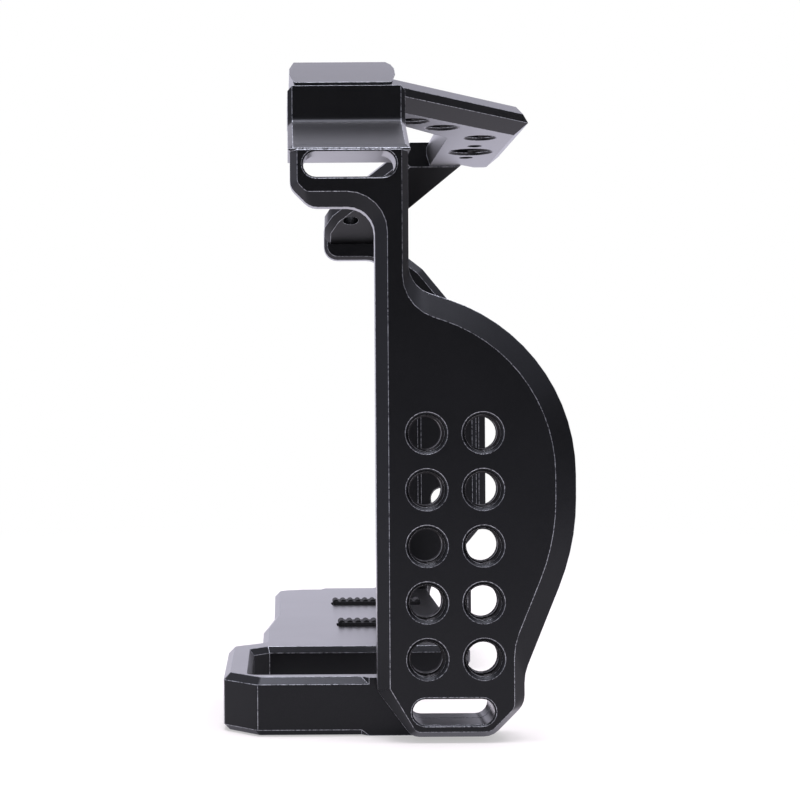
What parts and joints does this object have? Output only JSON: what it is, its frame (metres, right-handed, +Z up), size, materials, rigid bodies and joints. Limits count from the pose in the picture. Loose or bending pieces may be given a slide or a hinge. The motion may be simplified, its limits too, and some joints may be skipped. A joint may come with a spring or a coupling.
{
  "type": "camera cage",
  "caption": "Black anodised aluminium camera cage with a perforated grip side plate, an open battery bay, a hood bar over the lens mount and a captive camera screw",
  "frame": {"origin": "bottom centre of the bounding box, on the ground under the cage", "axes": "+Z up; -Y forward, the way the lens looks; -X towards the side of the hand grip"},
  "size_m": [0.15, 0.0624, 0.1186],
  "materials": {
    "black_anodised": "black anodised over fine bead blasting",
    "black_steel": "blackened, satin",
    "bright_steel": "bright, satin",
    "black_rubber": "matt, ribbed"
  },
  "bodies": {
    "frame": {"bottom_plate": "black_anodised", "grip_side_plate": "black_anodised", "port_side_plate": "black_anodised", "top_plate": "black_anodised", "retaining_ring": "bright_steel", "rubber_strip_grip_side": "black_rubber", "rubber_strip_port_side": "black_rubber", "base_screw_grip_back": "black_steel", "base_screw_grip_front": "black_steel", "base_screw_port_back": "black_steel", "base_screw_port_front": "black_steel", "top_screw_grip_back": "black_steel", "top_screw_grip_front": "black_steel", "top_screw_port_back": "black_steel", "top_screw_port_front": "black_steel"},
    "lifting_washer": {"screw_washer": "bright_steel"},
    "turning_screw": {"camera_screw": "black_steel"}
  },
  "joints": [
    {"name": "camera_screw_lift", "type": "slide", "parent": "frame", "child": "lifting_washer", "axis": [0, 0, 1], "range_m": [0, 0.003]},
    {"name": "camera_screw_turn", "type": "hinge", "parent": "lifting_washer", "child": "turning_screw", "pos_m": [0.0185, -0.0045, 0.0018], "axis": [0, 0, 1], "continuous": true}
  ]
}
